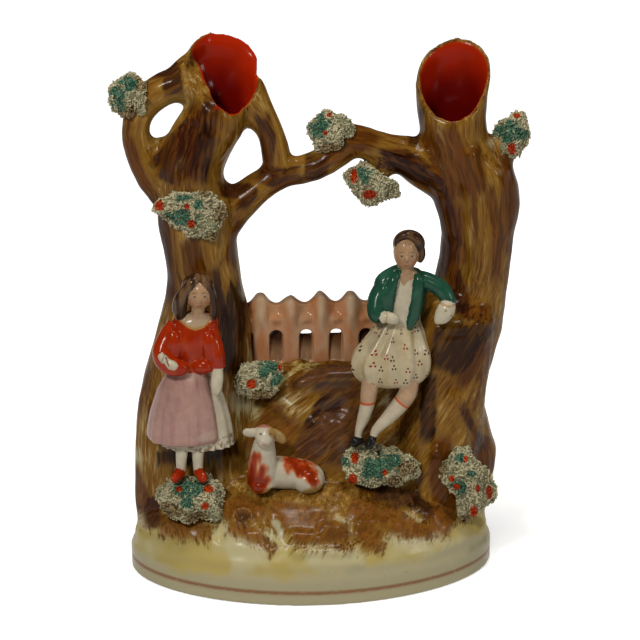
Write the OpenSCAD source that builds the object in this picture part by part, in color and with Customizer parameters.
// Spill vase: two hollow trees over a fence, with a girl, a boy and a lamb, on an oval plinth.
// Millimetres. +X is the viewer's right, -Y the front, +Z up. The origin is the middle of the foot.

/* [Plinth] */
// Length of the oval plinth
plinth_w = 172; // [156:1:190]
// Depth of the oval plinth, front to back
plinth_d = 104; // [96:1:114]
// Roundness of the oval: 2 is an ellipse, less has more pointed ends
plinth_round = 1.9; // [1.8:0.05:2.3]
// Height of the plinth's wall
plinth_h = 13; // [10:0.5:18]
// Thickness of the plinth's wall
plinth_wall = 6; // [4:0.5:9]
// Thickness of the base plate inside the plinth
plate_t = 4; // [3:0.5:7]
// Bore of the vent hole in the base plate
vent_d = 7; // [4:0.5:12]
// Distance of the vent hole from the middle of the plate
vent_x = 30; // [15:1:50]

/* [Ground] */
// Rise of the mound above the plinth
mound_h = 35.5; // [30:0.5:42]
// Clay thickness of the mound
mound_wall = 6; // [4:0.5:9]
// Rise of the bank under the fence above the plinth
bank_h = 82; // [76:1:90]
// Depth of the bank, front to back
bank_d = 36; // [30:1:42]
// Rise of the stump beside the right tree above the plinth
stump_h = 119; // [112:1:126]
// Width of the stump at its top
stump_w = 36; // [30:1:42]

/* [Trees] */
// Rise of the left tree's rim above the plinth
tree_h = 236; // [225:1:250]
// How much lower the right tree's rim is
right_drop = 3; // [0:0.5:8]
// Distance of the left tree's foot from the plinth's left end
left_inset = 32; // [29:0.5:36]
// Distance of the right tree's foot from the plinth's right end
right_inset = 22; // [20:0.5:27]
// Distance of both trees behind the plinth's middle line
tree_back = 11.5; // [8:0.5:14]
// Width of a trunk at its waist
trunk_w = 34; // [30:0.5:38]
// Depth of a trunk at its waist
trunk_d = 33; // [29:0.5:37]
// Wall of the spill hollows
spill_wall = 3.5; // [2.5:0.25:5]
// Depth of the spill hollows below the highest rim
spill_depth = 130; // [100:1:140]
// Slope of the mouths towards the front, in degrees
mouth_tilt = 43; // [35:1:48]
// Thickness of the boughs where they are thinnest
bough_d = 13; // [11:0.25:16]

/* [Fence] */
// Rise of the fence's low points above its bank
fence_h = 29; // [25:1:34]
// Extra rise of the pickets' points
picket_tip = 4.5; // [2:0.25:7]
// Distance from picket to picket
picket_pitch = 14.1; // [12.5:0.1:17]
// Width of the gaps between the pickets
picket_gap = 6.3; // [4:0.1:8]
// Rise of the gaps' round tops above the bank
gap_h = 16.5; // [12:0.5:20]
// Thickness of the fence
fence_t = 8; // [6:0.5:11]
// Distance of the fence behind the trees' middle line
fence_back = 5; // [3:0.5:7]

/* [Figures] */
// Rise of the girl's shoes above the mound, which her moss fills
girl_rise = 21; // [17:0.5:25]
// Distance of the girl's feet in front of the trees' middle line
girl_front = 35; // [34:0.5:36.5]
// Length of the girl's skirt
skirt_h = 36; // [33:0.5:38]
// Width of the girl's skirt at its hem
skirt_w = 34; // [31:0.5:38]
// Rise of the boy's shoes above the mound, which his moss fills
boy_rise = 20; // [16:0.5:23]
// Distance of the boy's feet in front of the trees' middle line
boy_front = 29.5; // [28:0.5:31.5]
// Distance of the boy's feet from the right tree's foot
boy_in = 37; // [35:0.5:38.5]
// Width of the boy's kilt
kilt_w = 37; // [33:0.5:40]
// Length of the lamb's body
lamb_w = 33; // [29:0.5:37]
// Height of the lamb's back above the ground
lamb_h = 16; // [14:0.5:19]

/* [Moss] */
// Typical width of a moss clump
moss_d = 19; // [16:0.5:22]
// Shagginess of the moss, as a share of a clump's half width
moss_shag = 0.14; // [0.05:0.01:0.2]

/* [Hidden] */

// Colours of the painted clay
white_glaze = "ivory";
bark = "peru";
moss_green = "cadetblue";

// Places that several pieces share
left_x = left_inset - plinth_w / 2;
right_x = plinth_w / 2 - right_inset;
span = right_x - left_x;
tree_y = tree_back;
fence_y = tree_y + fence_back;
bank_top = plinth_h + bank_h;
stump_top = plinth_h + stump_h;
bough_r = bough_d / 2;
left_rim = plinth_h + tree_h;
right_rim = left_rim - right_drop;
// Extra clay at the left mouth's outer side, where the bough springs from it
left_lip = 1.5;
// How deep a stuck-on piece reaches into its seat before it is trimmed to fit
bed = 4;
// Longer than anything here, for the cutting solids
far = 400;

// A smooth curve through rows of numbers, with the given steps from row to row
function between(rows, i, t) =
    let (
        last = len(rows) - 1,
        a = rows[max(i - 1, 0)],
        b = rows[i],
        c = rows[min(i + 1, last)],
        d = rows[min(i + 2, last)])
    0.5 * (2 * b + (c - a) * t + (2 * a - 5 * b + 4 * c - d) * t * t
        + (3 * b - a - 3 * c + d) * t * t * t);
function smooth(rows, steps) = [
    for (i = [0 : len(rows) - 2]) for (s = [0 : steps - 1]) between(rows, i, s / steps),
    rows[len(rows) - 1]];

// Height of a share t of the trees' rise, and x a share s of the way from tree to tree
function up(t) = plinth_h + t * tree_h;
function across(s) = left_x + s * span;

// The domed ground: its height at a place on the plinth
ground_w = plinth_w / 2;
ground_d = plinth_d / 2;
function rim_share(x, y) = min(1, pow(
    pow(abs(x / ground_w), plinth_round) + pow(abs(y / ground_d), plinth_round), 1 / plinth_round));
function ground(x, y) = plinth_h + mound_h * pow(1 - pow(rim_share(x, y), 2.2), 0.6);

// Unit vector
function unit(v) = v / norm(v);

// Closed skin over rings of equally many points, from the lowest ring to the highest
module skin(rings) {
    n = len(rings[0]);
    last = len(rings) - 1;
    sides = [
        for (i = [0 : last - 1]) for (j = [0 : n - 1])
            let (a = i * n + j, b = i * n + (j + 1) % n)
            each [[a, a + n, b], [b, a + n, b + n]]];
    floor_face = [for (j = [0 : n - 1]) j];
    roof_face = [for (j = [n - 1 : -1 : 0]) last * n + j];
    polyhedron([for (ring = rings) each ring], concat(sides, [floor_face, roof_face]));
}

// Upright form from level oval sections: rows of [height, x, y, half width, half depth]
module stack(rows, steps = 2, sides = 17) {
    skin([
        for (r = smooth(rows, steps)) [
            for (j = [0 : sides - 1])
                let (a = 360 * j / sides)
                [r[1] + r[3] * cos(a), r[2] + r[4] * sin(a), r[0]]]]);
}

// Round limb along a path: rows of [x, y, z, half width, half depth]
module limb(rows, steps = 2, sides = 10) {
    path = smooth(rows, steps);
    last = len(path) - 1;
    skin([
        for (i = [0 : last])
            let (
                p = path[i],
                ahead = path[min(i + 1, last)],
                behind = path[max(i - 1, 0)],
                run = unit([ahead[0] - behind[0], ahead[1] - behind[1], ahead[2] - behind[2]]),
                side = unit(cross([0, 1, 0], run)),
                back = cross(run, side))
            [for (j = [0 : sides - 1])
                let (a = 360 * j / sides)
                [p[0], p[1], p[2]] + p[3] * cos(a) * side + p[4] * sin(a) * back]]);
}

// Egg form with the given half sizes
module egg(half, sides = 12) {
    resize(2 * half) sphere(1, $fn = sides);
}

// Stuck-on clay: the first form, trimmed to sit face to face on the forms after it
module luted() {
    resize([0, 0, 0]) difference() {
        children(0);
        union() children([1 : $children - 1]);
    }
}

// Point of an oval at an angle, and the plinth's outline drawn in by an inset
function bend(c) = sign(c) * pow(abs(c), 2 / plinth_round);
function oval_point(w, d, a) = [w * bend(cos(a)), d * bend(sin(a))];
module oval(inset) {
    sides = 96;
    polygon([
        for (j = [0 : sides - 1])
            oval_point(plinth_w / 2 - inset, plinth_d / 2 - inset, 360 * j / sides)]);
}

// Plinth: oval wall under the mound
module plinth() {
    color(white_glaze) difference() {
        linear_extrude(plinth_h) oval(0);
        translate([0, 0, -1]) linear_extrude(plinth_h + 2) oval(plinth_wall);
    }
}

// Base plate: closes the underside inside the plinth, with a vent hole
module base_plate() {
    color(white_glaze) difference() {
        linear_extrude(plate_t) oval(plinth_wall);
        translate([vent_x, 0, -1]) cylinder(d = vent_d, h = plate_t + 2, $fn = 48);
    }
}

// Ring of the mound's surface, counted from the rim to the middle, lowered by a thickness
ground_sides = 36;
ground_rings = 7;
function ground_ring(i, drop) = [
    for (j = [0 : ground_sides - 1])
        let (
            share = cos(88 * i / ground_rings),
            p = share * oval_point(ground_w - drop, ground_d - drop, 360 * j / ground_sides))
        [p[0], p[1], max(plinth_h, ground(p[0], p[1]) - drop)]];

// Mound as a filled dome, which the pieces that stand on it are trimmed by
module mound_form() {
    base = [for (p = ground_ring(0, 0)) [p[0], p[1], plinth_h - bed]];
    skin(concat([base], [for (i = [0 : ground_rings]) ground_ring(i, 0)]));
    translate([-far / 2, -far / 2, plinth_h - far]) cube(far);
}

// Mound: hollow dome with a level seat on the plinth's wall
module mound() {
    seat = [for (p = ground_ring(0, mound_wall)) [p[0], p[1], plinth_h]];
    color(bark) skin(concat(
        [for (i = [ground_rings : -1 : 0]) ground_ring(i, mound_wall)],
        [seat],
        [for (i = [0 : ground_rings]) ground_ring(i, 0)]));
}

// Bank of rock in the middle, under the fence
bank_x = across(0.54);
bank_half = span / 2 - 19;
module bank_form() {
    stack([
        [plinth_h + 15, bank_x, tree_y - 5, bank_half + 8, bank_d / 2 + 8],
        [bank_top - 38, bank_x - 1, tree_y - 4, bank_half + 4, bank_d / 2 + 4],
        [bank_top - 20, bank_x + 1, tree_y - 2, bank_half, bank_d / 2],
        [bank_top - 6, bank_x + 3, tree_y, bank_half - 1, bank_d / 2 - 3],
        [bank_top, bank_x + 4, tree_y + 1, bank_half - 4, bank_d / 2 - 6]], sides = 26);
}

module rock_bank() {
    color(bark) luted() {
        bank_form();
        mound_form();
        left_trunk_form();
        right_trunk_form();
    }
}

// Stump with a sloping top, in front of the right tree
stump_x = right_x + 2;
module stump_form() {
    half = stump_w / 2;
    stack([
        [plinth_h + 5, stump_x - 11, tree_y - 12, half + 5, 19],
        [stump_top - 73, stump_x - 6, tree_y - 11, half + 3, 18],
        [stump_top - 43, stump_x - 2, tree_y - 11, half + 1, 16],
        [stump_top - 18, stump_x, tree_y - 12, half + 1, 14.5],
        [stump_top - 7, stump_x + 1, tree_y - 10, half, 12],
        [stump_top, stump_x + 2, tree_y - 7, half - 2, 8]]);
}

module stump() {
    color(bark) luted() {
        stump_form();
        mound_form();
        right_trunk_form();
        bank_form();
    }
}

// Trunks: rows of [share of the rise, lean to the right, lean to the back,
// swell of the half width, swell of the half depth]
left_rows = [
    [-0.05, 1, -4, 12, 4], [0.07, 0, -3, 13, 4], [0.18, -0.6, -2, 11.6, 3.5],
    [0.28, 0.4, -1, 10.6, 3], [0.38, 3, 0, 7, 2], [0.46, 5.2, 0, 3.5, 1], [0.53, 5.2, 0, 0.2, 0],
    [0.61, 3, 0, 0.5, 0], [0.67, 2.5, 0, 1.5, 0.5], [0.74, 2, 0, 0.5, 0.5],
    [0.82, 6, 0, -0.5, 0.5], [0.89, 11.5, 0, 0, 0.5], [0.96, 15, 0, 0.5, 1], [1.04, 17.5, 0, 0, 1]];
right_rows = [
    [-0.05, -3, -4, 5, 3], [0.03, -3, -4, 6.5, 4], [0.09, -2, -3, 8.5, 4], [0.165, -0.5, -2, 9, 3.5],
    [0.265, -2, -1, 3.5, 2], [0.33, 1, 0, 3.5, 1], [0.41, 6.5, 0, 3, 0.5], [0.51, 11.5, 0, 0.5, 0],
    [0.61, 14.4, 0, 0, 0], [0.67, 13.4, 0, 3, 0.5], [0.75, 9.5, 0, 3, 0.5], [0.81, 2, 0, -1.5, 0],
    [0.89, 0.5, 0, -0.8, 0.5], [0.95, 1.8, 0, 0.7, 1], [1.04, 5, 0, 0.5, 1]];

function trunk_sections(rows, foot_x, wall) = [
    for (r = rows) [
        up(r[0]), foot_x + r[1], tree_y + r[2],
        trunk_w / 2 + r[3] - wall, trunk_d / 2 + r[4] - wall]];

module left_trunk_form() {
    stack(trunk_sections(left_rows, left_x, 0));
}

module right_trunk_form() {
    stack(trunk_sections(right_rows, right_x, 0));
}

// Everything above a slanted mouth that faces a little to one side
module above_mouth(mouth_x, rim_z, turn) {
    fall = tan(mouth_tilt) * (trunk_d / 2 + 1);
    translate([mouth_x, tree_y, rim_z - fall])
        rotate([0, 0, turn])
            rotate([mouth_tilt, 0, 0])
                translate([-far / 2, -far / 2, 0])
                    cube(far);
}

// Hollow of a spill holder, down to its floor
module spill_hollow(rows, foot_x, rim_z, wall) {
    difference() {
        stack(trunk_sections(rows, foot_x, wall), sides = 14);
        translate([-far / 2, -far / 2, rim_z - spill_depth - far]) cube(far);
    }
}

module left_trunk() {
    color(bark) luted() {
        left_trunk_form();
        mound_form();
        above_mouth(left_x + 15, left_rim, 28);
        spill_hollow(left_rows, left_x + left_lip, left_rim, spill_wall + left_lip);
    }
}

module right_trunk() {
    color(bark) luted() {
        right_trunk_form();
        mound_form();
        above_mouth(right_x + 2, right_rim, -12);
        spill_hollow(right_rows, right_x, right_rim, spill_wall);
    }
}

// Boughs: rows of [x, share of the trees' rise, swell of the half thickness]
module bough(rows) {
    limb([for (r = rows) [r[0], tree_y, up(r[1]), bough_r + r[2], bough_r + r[2]]], sides = 12);
}

module left_outer_form() {
    bough([
        [left_x + 4, 0.945, 3], [left_x - 6, 0.917, 1], [left_x - 15.3, 0.9, 0.5],
        [left_x - 22.4, 0.868, 0.3], [left_x - 24.4, 0.826, 0], [left_x - 22.9, 0.783, 0.5],
        [left_x - 17.6, 0.738, 1.5], [left_x - 8, 0.69, 3]]);
}

module left_inner_form() {
    bough([
        [left_x + 22, 0.92, 2.5], [left_x + 32, 0.861, 0.2], [left_x + 36.6, 0.816, -0.3],
        [left_x + 38.8, 0.778, 0], [left_x + 40, 0.738, 0.5]]);
}

module left_arch_form() {
    bough([
        [across(0.1), 0.64, 4.5], [across(0.18), 0.678, 2.5], [across(0.26), 0.713, 0.8],
        [across(0.35), 0.738, 0.3], [across(0.43), 0.745, 0.3], [across(0.52), 0.762, 0.5],
        [across(0.61), 0.797, 1]]);
}

module right_arch_form() {
    bough([
        [across(1.03), 0.72, 6.5], [across(0.91), 0.75, 5], [across(0.83), 0.77, 3],
        [across(0.75), 0.783, 1.2], [across(0.68), 0.795, 1], [across(0.58), 0.805, 0.7]]);
}

module left_outer_bough() {
    color(bark) luted() {
        left_outer_form();
        left_trunk_form();
    }
}

module left_inner_bough() {
    color(bark) luted() {
        left_inner_form();
        left_trunk_form();
        left_arch_form();
    }
}

module left_arch_bough() {
    color(bark) luted() {
        left_arch_form();
        left_trunk_form();
    }
}

module right_arch_bough() {
    color(bark) luted() {
        right_arch_form();
        right_trunk_form();
        left_arch_form();
    }
}

// Stubs that carry moss
module right_spur_form() {
    bough([
        [right_x + 18, 0.73, 3], [right_x + 25, 0.785, 0.5], [right_x + 28.5, 0.82, -0.5],
        [right_x + 29, 0.835, -3]]);
}

module right_spur() {
    color(bark) luted() {
        right_spur_form();
        right_trunk_form();
    }
}

module arch_spur_form() {
    bough([[across(0.76), 0.775, 1], [across(0.73), 0.745, 0], [across(0.7), 0.715, -3]]);
}

module arch_spur() {
    color(bark) luted() {
        arch_spur_form();
        right_arch_form();
    }
}

// Fence: a rail of pointed pickets with round-topped gaps, let into both trees
fence_x = across(0.265);
pickets = ceil(span / picket_pitch);
function fence_edge(x) =
    fence_h + picket_tip * pow(0.5 + 0.5 * cos(360 * (x - fence_x) / picket_pitch), 1.3);

module fence_form() {
    steps = 4 * pickets;
    translate([0, fence_y + fence_t / 2, bank_top]) rotate([90, 0, 0]) linear_extrude(fence_t) {
        difference() {
            polygon(concat(
                [[left_x, -bed - 8]],
                [for (i = [0 : steps]) let (x = left_x + span * i / steps) [x, fence_edge(x)]],
                [[right_x, -bed - 8]]));
            for (i = [-1 : pickets]) translate([fence_x + picket_pitch * (i + 0.5), 0]) {
                translate([0, gap_h - picket_gap / 2]) circle(d = picket_gap, $fn = 12);
                translate([-picket_gap / 2, 0.5]) square([picket_gap, gap_h - picket_gap / 2]);
            }
        }
    }
}

module fence() {
    color("lightsalmon") luted() {
        fence_form();
        bank_form();
        left_trunk_form();
        right_trunk_form();
        stump_form();
        mound_form();
    }
}

// Girl: all her pieces are measured from the point between her feet
girl_x = left_x - 3;
girl_y = tree_y - girl_front;
girl_z = ground(girl_x, girl_y) + girl_rise;
hem = 17;
girl_waist = hem + skirt_h;
module at_girl() {
    translate([girl_x, girl_y, girl_z]) children();
}

// Her right side is -1, her left side 1
module girl_shoe_form(side) {
    at_girl() translate([side * 4.8, -1 - side, 2]) rotate([0, 0, side * 10]) egg([2.9, 5, 2.6]);
}

module girl_shoe(side) {
    color("orangered") luted() {
        girl_shoe_form(side);
        mound_form();
    }
}

module girl_right_shoe() {
    girl_shoe(-1);
}

module girl_left_shoe() {
    girl_shoe(1);
}

module girl_leg_form(side) {
    at_girl() limb([
        [side * 4.6, 1, 3, 2.4, 2.6], [side * 4.5, 1.5, 9, 2.5, 2.7],
        [side * 4, 3, hem + 6, 3.4, 3.4]]);
}

module girl_leg(side) {
    color(white_glaze) luted() {
        girl_leg_form(side);
        girl_shoe_form(side);
        girl_skirts_form();
    }
}

module girl_right_leg() {
    girl_leg(-1);
}

module girl_left_leg() {
    girl_leg(1);
}

// Petticoat: full underskirt, showing below the hem and at the girl's left
module girl_petticoat_form() {
    half = skirt_w / 2;
    at_girl() stack([
        [hem - 4, 4.5, 9.5, half - 0.5, 10.5], [hem, 4.5, 9.5, half - 1, 10.5],
        [hem + 10, 4, 9.5, half - 3, 9.5], [hem + 22, 3, 9.5, half - 6.5, 8],
        [girl_waist - 4, 2, 9.5, 8, 6.5]], sides = 20);
}

module girl_skirt_form() {
    half = skirt_w / 2;
    at_girl() stack([
        [hem, -1.5, 7.5, half, 13], [hem + 3, -1.5, 7.5, half, 13],
        [hem + 12, -1.5, 7.5, half - 2, 12], [hem + 24, -1, 8, half - 5, 10.5],
        [girl_waist - 4, 0, 8.5, half - 7.5, 8.5], [girl_waist + 2, 0.5, 9, 7.5, 6.5]], sides = 20);
}

module girl_skirts_form() {
    girl_petticoat_form();
    girl_skirt_form();
}

module girl_petticoat() {
    color(white_glaze) luted() {
        girl_petticoat_form();
        girl_skirt_form();
        left_trunk_form();
    }
}

module girl_skirt() {
    color("thistle") luted() {
        girl_skirt_form();
        left_trunk_form();
    }
}

// Jacket of the girl, from the waist to the neck
module girl_bodice_form() {
    at_girl() translate([0, 0, girl_waist]) stack([
        [-3.5, 0.5, 8.5, 10.5, 8.5], [2, 0.5, 9, 9.5, 7.5], [10, 1, 9, 10.5, 8],
        [17, 1.5, 9.5, 11.5, 7.5], [21, 2, 9.5, 10, 6.5], [24, 2.5, 9.5, 5, 4.5]], sides = 14);
}

module girl_bodice() {
    color("orangered") luted() {
        girl_bodice_form();
        girl_skirts_form();
        left_trunk_form();
        girl_head_form();
    }
}

// Arms of the girl: one bent across her waist, one hanging
module girl_right_arm_form() {
    at_girl() translate([0, 0, girl_waist]) limb([
        [-6, 8, 21, 3, 3.4], [-8.5, 6, 14, 4.5, 4.5], [-10.8, 3, 5.5, 4.6, 4.6],
        [-8, -1.5, 2, 4, 3.8], [-3, -3, 2, 2.8, 2.8], [1.5, -2.5, 2.5, 2, 2]]);
}

module girl_left_arm_form() {
    at_girl() translate([0, 0, girl_waist]) limb([
        [9, 9, 21, 3.4, 3.4], [13, 7, 13, 4.6, 4.6], [14.5, 4, 3, 4.2, 4.2],
        [12, 2, -6, 2.8, 2.8], [11, 1, -11, 2.4, 2.2], [10.5, 1, -14.5, 1.4, 1.4]]);
}

module girl_right_arm() {
    color("orangered") luted() {
        girl_right_arm_form();
        girl_bodice_form();
        girl_skirts_form();
        left_trunk_form();
    }
}

module girl_left_arm() {
    color("orangered") luted() {
        girl_left_arm_form();
        girl_bodice_form();
        girl_skirts_form();
        left_trunk_form();
    }
}

// Head of the girl with her neck and loose hair
module girl_head_form() {
    at_girl() translate([2.5, 9, girl_waist]) {
        stack([[19, 0, 0, 3.4, 3.4], [25, 0, -0.5, 3, 3.2], [29, 0, -1, 3.4, 3.4]], sides = 12);
        translate([0, -1, 32.5]) egg([6.3, 7, 8]);
        stack([
            [20, -0.5, 4, 9, 4], [25, -0.5, 3, 10, 5], [31, -0.3, 2.5, 9.3, 6],
            [37, 0, 2, 8, 6.8], [40.5, 0, 1.5, 5.5, 5], [42, 0, 1.5, 2, 2]], sides = 14);
    }
}

module girl_head() {
    color("sienna") luted() {
        girl_head_form();
        left_trunk_form();
    }
}

// Boy: all his pieces are measured from the point between his feet
boy_x = right_x - boy_in;
boy_y = tree_y - boy_front;
boy_z = ground(boy_x, boy_y) + boy_rise;
knee = 26;
boy_waist = 55;
module at_boy() {
    translate([boy_x, boy_y, boy_z]) children();
}

module boy_shoe_form() {
    egg([2.8, 5.4, 2.6]);
}

module boy_right_shoe_form() {
    at_boy() translate([-4.5, 0, 2]) rotate([0, 0, -25]) boy_shoe_form();
}

module boy_left_shoe_form() {
    at_boy() translate([3, -4, 2]) rotate([0, 0, 20]) boy_shoe_form();
}

module boy_right_shoe() {
    color("dimgray") luted() {
        boy_right_shoe_form();
        mound_form();
        boy_left_shoe_form();
    }
}

module boy_left_shoe() {
    color("dimgray") luted() {
        boy_left_shoe_form();
        mound_form();
    }
}

// Legs of the boy, crossed at the ankles
module boy_right_leg_form() {
    at_boy() limb([
        [-4, 1.5, 2.5, 2.2, 2.4], [-2.5, 3, 10, 3, 3.2], [0, 4.5, 18, 3.4, 3.6],
        [2.5, 5.5, knee, 3.6, 3.8], [6, 8, knee + 10, 4.2, 4.4]]);
}

module boy_left_leg_form() {
    at_boy() limb([
        [3, -2, 2.5, 2.2, 2.4], [6.5, -1, 9, 2.8, 3], [12.5, 2, 16, 3.6, 3.8],
        [18, 4.5, knee, 3.9, 4], [19, 8, knee + 10, 4.4, 4.6]]);
}

module boy_right_leg() {
    color(white_glaze) luted() {
        boy_right_leg_form();
        boy_right_shoe_form();
        boy_left_shoe_form();
        boy_kilt_form();
        boy_left_leg_form();
        mound_form();
        bank_form();
    }
}

module boy_left_leg() {
    color(white_glaze) luted() {
        boy_left_leg_form();
        boy_right_shoe_form();
        boy_left_shoe_form();
        boy_kilt_form();
        mound_form();
        bank_form();
    }
}

module boy_kilt_form() {
    half = kilt_w / 2;
    at_boy() stack([
        [knee + 3, 11.5, 9, half - 4, 11], [knee + 7, 12, 9, half - 1, 12],
        [knee + 13, 12.5, 9.5, half, 12], [knee + 21, 13.5, 10.5, half - 4, 10],
        [boy_waist - 4, 14.5, 11, half - 9, 8], [boy_waist + 3, 15, 11, 8.5, 6.5]], sides = 20);
}

module boy_kilt() {
    color(white_glaze) luted() {
        boy_kilt_form();
        bank_form();
        stump_form();
        fence_form();
    }
}

module boy_shirt_form() {
    at_boy() translate([15, 11, boy_waist]) stack([
        [-4, -0.5, 0, 8, 6], [2, 0, 0, 8, 6], [10, 1, 0, 8.8, 6.5], [18, 1.8, 0.3, 9, 6],
        [23, 2.5, 0.5, 7, 5], [27, 3.4, 0.5, 3.6, 3.6]], sides = 14);
}

module boy_shirt() {
    color(white_glaze) luted() {
        boy_shirt_form();
        boy_kilt_form();
        boy_head_form();
        stump_form();
    }
}

// Jacket of the boy: a short coat over the shirt, open down the front
module boy_jacket_form() {
    difference() {
        at_boy() translate([15, 11, boy_waist]) stack([
            [-1, -0.5, 1, 10.5, 8], [4, 0, 1, 9.8, 7.6], [11, 1, 1, 10.6, 8],
            [18, 1.8, 1, 11.4, 7.8], [23, 2.4, 1, 9.6, 6.6], [26, 3, 1, 5.5, 5]], sides = 14);
        at_boy() translate([15, 0, boy_waist]) limb([
            [1, -2, -6, 7, 7], [0.5, -1.5, 8, 5, 7], [1, -1, 20, 3.5, 7], [1.5, 0, 30, 3.5, 8]],
            sides = 8);
    }
}

module boy_jacket() {
    color("seagreen") luted() {
        boy_jacket_form();
        boy_shirt_form();
        boy_kilt_form();
        boy_head_form();
        stump_form();
        fence_form();
    }
}

// Arms of the boy: one with the hand at his waist, one leaning on the stump
module boy_right_arm_form() {
    at_boy() translate([15, 11, boy_waist]) limb([
        [-5, 0.5, 22, 3.2, 3.4], [-10, -1, 16, 4.2, 4.2], [-13.5, -3, 7, 4.2, 4.2],
        [-11.5, -7, 1.5, 3.6, 3.6], [-6, -9, 2.5, 2.8, 2.8], [-2, -8, 4, 2.2, 2.2]]);
}

module boy_left_arm_form() {
    at_boy() translate([15, 11, boy_waist]) limb([
        [7, 0.5, 23, 3.4, 3.6], [12.5, -1.5, 21.5, 4.3, 4.2], [19.5, -6, 18.5, 4.2, 4.2],
        [22.5, -9, 13.5, 3.6, 3.6], [21, -11.5, 9, 2.8, 2.8], [19, -12, 5.5, 2.2, 2.2]]);
}

module boy_right_arm() {
    color("seagreen") luted() {
        boy_right_arm_form();
        boy_jacket_form();
        boy_shirt_form();
        boy_kilt_form();
        fence_form();
    }
}

module boy_left_arm() {
    color("seagreen") luted() {
        boy_left_arm_form();
        boy_jacket_form();
        boy_shirt_form();
        stump_form();
    }
}

// Head of the boy with his neck and side-parted hair
module boy_head_form() {
    at_boy() translate([18, 11, boy_waist]) {
        stack([[22, -0.5, 0.5, 3.4, 3.4], [27, 0, 0, 3.1, 3.3], [31, 0.5, -0.3, 3.4, 3.4]], sides = 12);
        translate([0.8, -0.5, 34.8]) egg([6.4, 7, 8]);
        stack([
            [29, 1.2, 3.5, 6, 4], [34, 1.2, 2.5, 7.6, 5.8], [39, 1.2, 1.5, 7.8, 6.8],
            [43, 1, 1, 5.8, 5.4], [45, 1, 1, 2, 2]], sides = 14);
    }
}

module boy_head() {
    color("sienna") luted() {
        boy_head_form();
        right_trunk_form();
    }
}

// Lamb, lying with its head up
lamb_x = across(0.36);
lamb_y = tree_y - 31;
lamb_z = ground(lamb_x, lamb_y);
module at_lamb() {
    translate([lamb_x, lamb_y, lamb_z]) children();
}

module lamb_body_form() {
    half = lamb_w / 2;
    at_lamb() limb([
        [-half - 0.5, 0, lamb_h - 9, 4, 4], [-half + 2, 0, lamb_h - 8, 8.5, 7.5],
        [-half + 9, 0.5, lamb_h - 7.5, 9, 8], [half - 10, 0.5, lamb_h - 8.5, 8.5, 8],
        [half - 3, 0, lamb_h - 9.5, 7, 7.5], [half + 1, 0, lamb_h - 10, 3, 3]]);
    at_lamb() limb([
        [-half + 5, -1, lamb_h - 8, 6.5, 6], [-half + 6, -3, lamb_h - 1, 6.5, 5.5],
        [-half + 7.5, -3, lamb_h + 6, 5.5, 5], [-half + 8.5, -2, lamb_h + 12, 4.4, 4.4]]);
}

module lamb_body() {
    color(white_glaze) luted() {
        lamb_body_form();
        mound_form();
        lamb_head_form();
        bank_form();
    }
}

module lamb_head_form() {
    half = lamb_w / 2;
    at_lamb() translate([8 - half, -3.5, lamb_h + 12]) limb([
        [0.5, 3, 5.2, 1.5, 1.5], [0.3, 2, 4, 4, 4.2], [0, -1, 1, 4.6, 4.6],
        [-0.3, -5, -3, 3.4, 3.2], [-0.4, -7, -5, 1.6, 1.6]], sides = 14);
}

module lamb_head() {
    color(white_glaze) lamb_head_form();
}

module lamb_ear(rows) {
    color("tan") luted() {
        at_lamb() translate([8 - lamb_w / 2, -2.5, lamb_h + 14]) limb(rows);
        lamb_head_form();
    }
}

module lamb_right_ear() {
    lamb_ear([[-2, 0.5, 0.5, 2, 1.6], [-6, 0.3, 1.3, 2.6, 1.7], [-10.5, 0, 2.5, 0.8, 0.7]]);
}

module lamb_left_ear() {
    lamb_ear([[2, 0.5, 0.5, 2, 1.6], [6, 0.8, 0, 2.6, 1.7], [10.5, 1, -1.5, 0.8, 0.7]]);
}

// Shaggy clump of moss about its middle: width, depth and height as shares of a typical clump
module clump(size, turn) {
    rings = 7;
    sides = 14;
    half = moss_d / 2;
    skin([
        for (i = [0 : rings])
            let (tilt = -80 + 160 * i / rings, rough = moss_shag * sin(180 * i / rings))
            [for (j = [0 : sides - 1])
                let (
                    a = 360 * j / sides,
                    k = 1 + rough * (sin(5 * a + turn + 3 * tilt) + 0.7 * cos(7 * a - turn)))
                half * [
                    size[0] * k * cos(tilt) * cos(a),
                    size[1] * k * cos(tilt) * sin(a),
                    size[2] * k * sin(tilt)]]]);
}

module moss_left_elbow() {
    color(moss_green) luted() {
        translate([left_x - 26, tree_y - 3, up(0.893)]) clump([1.05, 0.9, 1.1], 20);
        left_outer_form();
    }
}

module moss_left_trunk() {
    color(moss_green) luted() {
        translate([left_x - 1, tree_y - trunk_d / 2 + 1, up(0.68)]) clump([1.65, 0.8, 1.25], 80);
        left_trunk_form();
        left_outer_form();
    }
}

module moss_arch() {
    color(moss_green) luted() {
        translate([across(0.54), tree_y - 4, up(0.82)]) clump([1.0, 0.9, 1.1], 140);
        left_arch_form();
        right_arch_form();
    }
}

module moss_hanging() {
    color(moss_green) luted() {
        translate([across(0.7), tree_y - 4, up(0.725)]) clump([1.25, 0.95, 1.0], 200);
        arch_spur_form();
        right_arch_form();
        left_arch_form();
    }
}

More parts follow.
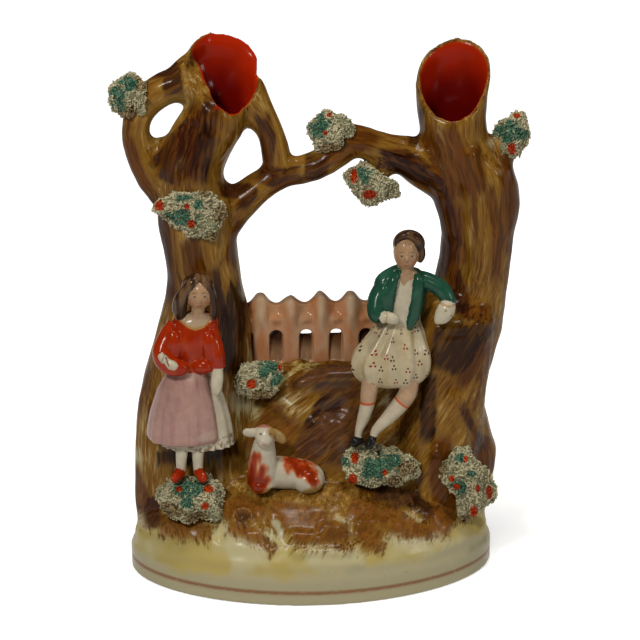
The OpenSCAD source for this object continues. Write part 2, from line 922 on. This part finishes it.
module moss_right_spur() {
    color(moss_green) luted() {
        translate([right_x + 28.5, tree_y - 2, up(0.822)]) clump([0.9, 0.85, 1.4], 260);
        right_spur_form();
        right_trunk_form();
    }
}

module moss_fence() {
    color(moss_green) luted() {
        translate([left_x + 29, tree_y - 15, bank_top - 2]) clump([1.2, 0.8, 1.0], 320);
        bank_form();
        fence_form();
        left_trunk_form();
        mound_form();
    }
}

module moss_girl() {
    color(moss_green) luted() {
        translate([girl_x + 1, girl_y + 1, girl_z - girl_rise / 2])
            clump([1.75, 1.35, 2.1 * girl_rise / moss_d / 1.6], 30);
        mound_form();
        left_trunk_form();
        for (side = [-1, 1]) {
            girl_shoe_form(side);
            girl_leg_form(side);
        }
    }
}

module moss_boy() {
    color(moss_green) luted() {
        translate([boy_x + 2, boy_y + 1, boy_z - boy_rise / 2])
            clump([1.8, 1.35, 2.1 * boy_rise / moss_d / 1.6], 100);
        mound_form();
        bank_form();
        boy_right_shoe_form();
        boy_left_shoe_form();
        boy_right_leg_form();
        boy_left_leg_form();
    }
}

module moss_right_base() {
    color(moss_green) luted() {
        translate([right_x + 7, tree_y - 29, ground(right_x + 7, tree_y - 29) + 18])
            clump([1.35, 1.1, 2.0], 170);
        mound_form();
        right_trunk_form();
        stump_form();
    }
}

plinth();
base_plate();
mound();
rock_bank();
stump();
left_trunk();
left_outer_bough();
left_inner_bough();
left_arch_bough();
right_arch_bough();
right_trunk();
right_spur();
arch_spur();
fence();
girl_right_shoe();
girl_left_shoe();
girl_right_leg();
girl_left_leg();
girl_petticoat();
girl_skirt();
girl_bodice();
girl_right_arm();
girl_left_arm();
girl_head();
boy_right_shoe();
boy_left_shoe();
boy_right_leg();
boy_left_leg();
boy_kilt();
boy_shirt();
boy_jacket();
boy_right_arm();
boy_left_arm();
boy_head();
lamb_body();
lamb_head();
lamb_right_ear();
lamb_left_ear();
moss_left_elbow();
moss_left_trunk();
moss_arch();
moss_hanging();
moss_right_spur();
moss_fence();
moss_girl();
moss_boy();
moss_right_base();
